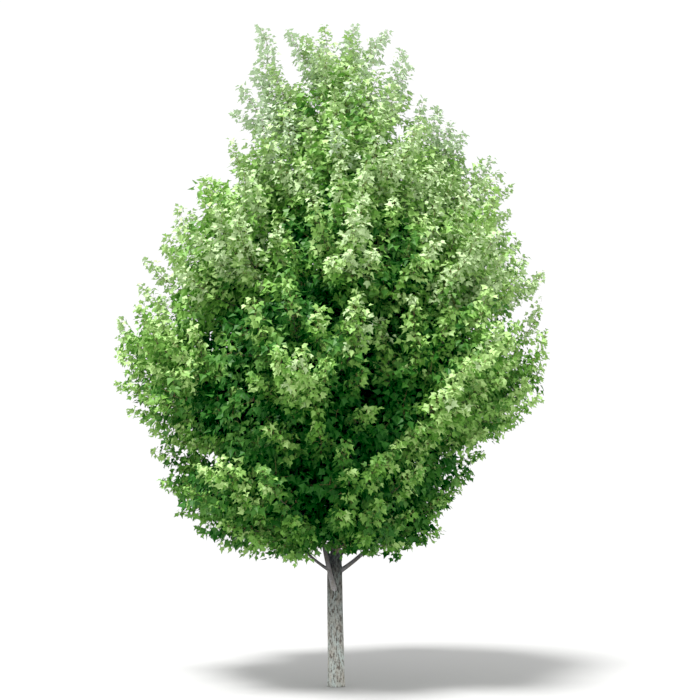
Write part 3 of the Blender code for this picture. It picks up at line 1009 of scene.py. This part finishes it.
def twig_tints(twigs):
    """A tint for each twig, with painted light and shade: paler towards its plume's tip, on bright plumes,
    high in the crown and at its sides; darker inside the crown and in dark hollows.
    """
    share, bright = np.array(twigs.share), np.array(twigs.bright)
    inner = np.array(twigs.inner)
    ends = np.array([path[-1] for path in twigs.paths])
    high = np.clip((ends[:, 2] - TOP_LIGHT_FROM) / TOP_LIGHT_OVER, 0.0, 1.0)
    side_lit = np.abs(outwards(ends.copy())[:, 0])
    # painted light and shade along each plume: its tip paler, its base darker
    score = TINT_BASE + TINT_AT_TIP * share ** 1.2
    score = score + (TINT_BRIGHT - TINT_BRIGHT_LOSS * high) * bright * share
    # painted light: paler at the crown's top and where it faces right or left
    score = score + TINT_TOP_LIGHT * high + TINT_SIDE_LIGHT * side_lit
    low_spread, top_spread = TINT_SPREAD
    chance = draw.normal(0.0, 1.0, len(share))
    score += np.array(twigs.whim) + chance * (low_spread + (top_spread - low_spread) * high)
    most, most_high, most_bright = TINT_MOST
    score = np.minimum(score, most + most_high * high + most_bright * bright)
    # painted shade: the sprays inside the crown are darker, lighter again at the top and sides
    base, at_top, at_side, spread = INNER_SHADE_TINT
    shaded = at_top * high + at_side * side_lit + base + draw.normal(0.0, spread, len(share))
    score = np.where(inner, shaded, score)
    # painted shade in the dark hollows between plumes
    score -= HOLLOW_SHADE * np.sqrt(hollow_depth(ends)) * (1.0 - share * bright)
    return np.clip(np.round(score), 0, len(TINTS) - 1).astype(int)


# ---- building the crown ----


def make_limbs(mass, limb, plumes, sprays, paint):
    """A mass's wood: its limb, and the stems of its plumes and of its shaded sprays."""
    parts = [tubes(limb[None], limb_radii(mass, limb)[None], LIMB_SIDES)]
    for paths, ends, sides in ((plumes, PLUME_RADIUS, PLUME_SIDES), (sprays, FILL_RADIUS, FILL_SIDES)):
        if paths:
            radii = np.tile(np.linspace(*ends, len(paths[0])), (len(paths), 1))
            parts.append(tubes(np.array(paths), radii, sides))
    points, triangles = joined(parts)
    wood = mesh_object("limbs_" + mass.plain, points, triangles, [paint], smooth=True)
    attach(wood, "root")
    return len(triangles)


def make_twigs(mass, twigs, paint):
    """A mass's twigs: bent ones in its plumes, straight ones in the shade."""
    paths = np.array(twigs.paths)
    inner = np.array(twigs.inner)
    drawn = twigs.drawn()
    parts = []
    for some in (paths[drawn & ~inner], paths[drawn & inner][:, ::2]):
        if len(some):
            radii = np.tile(np.linspace(*TWIG_RADIUS, some.shape[1]), (len(some), 1))
            parts.append(tubes(some, radii, TWIG_SIDES))
    points, triangles = joined(parts)
    small = mesh_object("twigs_" + mass.plain, points, triangles, [paint])
    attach(small, "root")
    return len(triangles)


def make_leaves(mass, twigs, paints):
    """A mass's leaves in their tints, and their stalks in the last paint."""
    tints = twig_tints(twigs)
    parts = []
    kinds = []
    count = 0
    for inner in (False, True):
        made = grow_leaves(twigs, inner)
        if made is None:
            continue
        points, blades, stalks, numbers, faces_each = made
        parts.append((points, np.concatenate([blades, stalks])))
        kinds.append(np.repeat(tints[numbers], faces_each))
        kinds.append(np.full(len(stalks), len(TINTS)))
        count += len(numbers)
    points, triangles = joined(parts)
    leaves = mesh_object("leaves_" + mass.plain, points, triangles, paints, np.concatenate(kinds))
    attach(leaves, "root")
    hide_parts(mass.name)
    return len(triangles), count


def make_crown():
    """The wood, twigs and leaves of every mass, one after another, for the random draws' sake."""
    dull, shine = LEAF_SHINE
    paints = [principled(name, colour, 0.5, dull + shine * colour[1]) for name, colour in TINTS]
    paints.append(principled("leaf_stalk", STALK_COLOUR, 0.5, 0.2))
    limb_paint = principled("limb_bark", LIMB_COLOUR, 0.8, 0.1)
    shoot_paint = principled("shoot_bark", SHOOT_COLOUR, 0.6, 0.1)
    tips = place_tips()
    fill = place_fill(tips)
    limbs = [limb_path(mass) for mass in masses]
    totals = {"leaves": 0, "twigs": 0, "limbs": 0}
    leaf_count = 0
    for k, (mass, limb) in enumerate(zip(masses, limbs)):
        twigs = Twigs()
        if mass.plain == "leader":
            grow_plume(twigs, limb, LEADER_BRIGHT)
        else:
            twigs.shade_along(limb, LIMB_BARE, arc_lengths(limb)[-1], LIMB_NODE_GAP)
        sprays = [fill_path(spot, limb) for spot, owner in fill if owner == k]
        for path in sprays:
            length = arc_lengths(path)[-1]
            twigs.shade_along(path, max(0.05, length - FILL_LEAFY), length, FILL_NODE_GAP)
        plumes = []
        for tip in tips:
            if tip.owner == k:
                plumes.append(plume_path(tip, limb))
                grow_plume(twigs, plumes[-1], tip.bright)
        totals["limbs"] += make_limbs(mass, limb, plumes, sprays, limb_paint)
        totals["twigs"] += make_twigs(mass, twigs, shoot_paint)
        triangles, leaves = make_leaves(mass, twigs, paints)
        totals["leaves"] += triangles
        leaf_count += leaves
    print("triangles", totals, sum(totals.values()), "plumes", len(tips), "leaves", leaf_count)


# ---- stage ----

FLOOR_COLOUR = (0.42, 0.42, 0.415)
FLOOR_HALF = 60.0
FLOOR_HEIGHT = -0.002  # just under the trunk's foot
SKY_STRENGTH = 1.0
SUN_STRENGTH = 6.0
SUN_WIDTH = 16.0  # degrees
SUN_TILT = (25.0, -14.0, 0.0)  # degrees from straight down
EXPOSURE = 0.38
BLACK_LEVEL = (0.0045, 0.0030, 0.0010)
TONE_BENDS = ((0.20, 0.215), (0.50, 0.455))  # softer highlights: each value, and what it is shown as
TONE_END = (1.0, 0.80)


def make_camera():
    lens = bpy.data.cameras.new("camera")
    lens.sensor_width = SENSOR
    lens.lens = FOCAL_PIXELS / FRAME_PIXELS * SENSOR
    lens.clip_end = 200.0
    camera = bpy.data.objects.new("camera", lens)
    bpy.context.scene.collection.objects.link(camera)
    camera.location = EYE
    camera.rotation_euler = (math.pi / 2 + PITCH, 0.0, 0.0)
    bpy.context.scene.camera = camera


def make_floor():
    paint = principled("floor_paint", FLOOR_COLOUR, 0.9, 0.1)
    square = ((-1, -1), (1, -1), (1, 1), (-1, 1))
    corners = np.array([(x * FLOOR_HALF, y * FLOOR_HALF, FLOOR_HEIGHT) for x, y in square])
    floor = mesh_object("floor", corners, np.array([[0, 1, 2], [0, 2, 3]]), [paint])


def make_light():
    world = bpy.data.worlds.new("soft_sky")
    bpy.context.scene.world = world
    world.use_nodes = True
    sky = world.node_tree.nodes["Background"]
    sky.inputs["Color"].default_value = (*WHITE, 1.0)
    sky.inputs["Strength"].default_value = SKY_STRENGTH
    lamp = bpy.data.lights.new("soft_sun", "SUN")
    lamp.energy = SUN_STRENGTH
    lamp.angle = math.radians(SUN_WIDTH)
    sun = bpy.data.objects.new("soft_sun", lamp)
    bpy.context.scene.collection.objects.link(sun)
    sun.rotation_euler = [math.radians(angle) for angle in SUN_TILT]


def set_tones():
    shown = bpy.context.scene.view_settings
    shown.view_transform = "Standard"
    shown.look = "None"
    shown.exposure = EXPOSURE
    shown.use_curve_mapping = True
    tones = shown.curve_mapping
    tones.black_level = BLACK_LEVEL
    bend = tones.curves[3].points  # the curve that all three colours share
    bend[-1].location = TONE_END
    for given, wanted in TONE_BENDS:
        bend.new(given, wanted)
    tones.update()


make_camera()
make_floor()
make_light()
set_tones()
make_wood()
make_crown()
